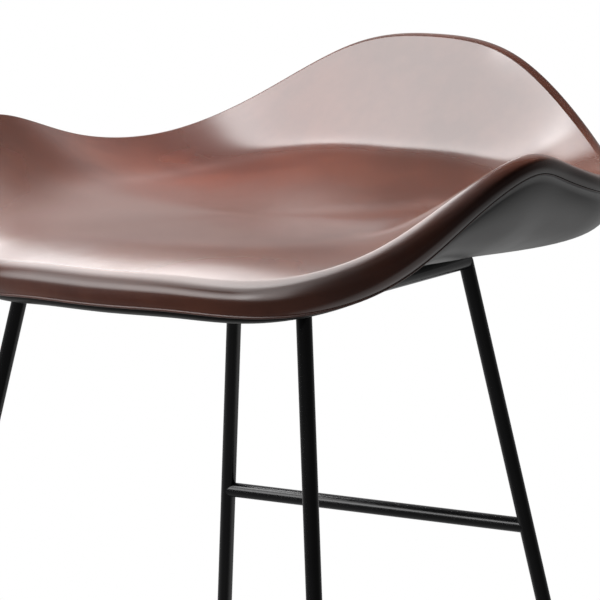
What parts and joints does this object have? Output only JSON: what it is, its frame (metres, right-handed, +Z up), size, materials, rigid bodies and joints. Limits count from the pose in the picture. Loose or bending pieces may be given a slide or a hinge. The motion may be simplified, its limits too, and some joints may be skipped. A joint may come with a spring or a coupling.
{
  "type": "bar stool",
  "caption": "Bar stool with a padded leather seat whose sides and back rise in soft lobes, on a splayed frame of slim black steel bar with a footrest and a rear brace.",
  "frame": {"origin": "on the floor, at the middle of the four feet and of the seat's width", "axes": "+Z up, the front of the stool faces -Y, left is -X and right is +X"},
  "size_m": [0.517, 0.5366, 0.8676],
  "materials": {
    "brown_leather": "semi-gloss, smooth, brown with redder and darker patches",
    "leather_piping": "semi-gloss, smooth",
    "grey_underside": "satin, dark grey",
    "plywood": "bare moulded plywood",
    "foam": "moulded foam",
    "black_frame": "black powder coat, semi-gloss",
    "black_screws": "black oxide",
    "plated_steel": "zinc plated",
    "black_rubber": "matt",
    "glide_plastic": "matt black"
  },
  "bodies": {
    "root": {"seat_shell": "plywood", "seat_foam": "foam", "top_cover": "brown_leather", "underside_cover": "grey_underside", "edge_welt": "leather_piping", "threaded_inserts": "plated_steel", "front_left_leg": "black_frame", "front_right_leg": "black_frame", "rear_left_leg": "black_frame", "rear_right_leg": "black_frame", "left_side_rail": "black_frame", "right_side_rail": "black_frame", "front_cross_rail": "black_frame", "rear_cross_rail": "black_frame", "footrest_bar": "black_frame", "rear_brace_bar": "black_frame", "seat_spacers": "black_rubber", "seat_screws": "black_screws", "screw_washers": "plated_steel", "front_left_glide": "glide_plastic", "front_right_glide": "glide_plastic", "rear_left_glide": "glide_plastic", "rear_right_glide": "glide_plastic"}
  },
  "joints": []
}
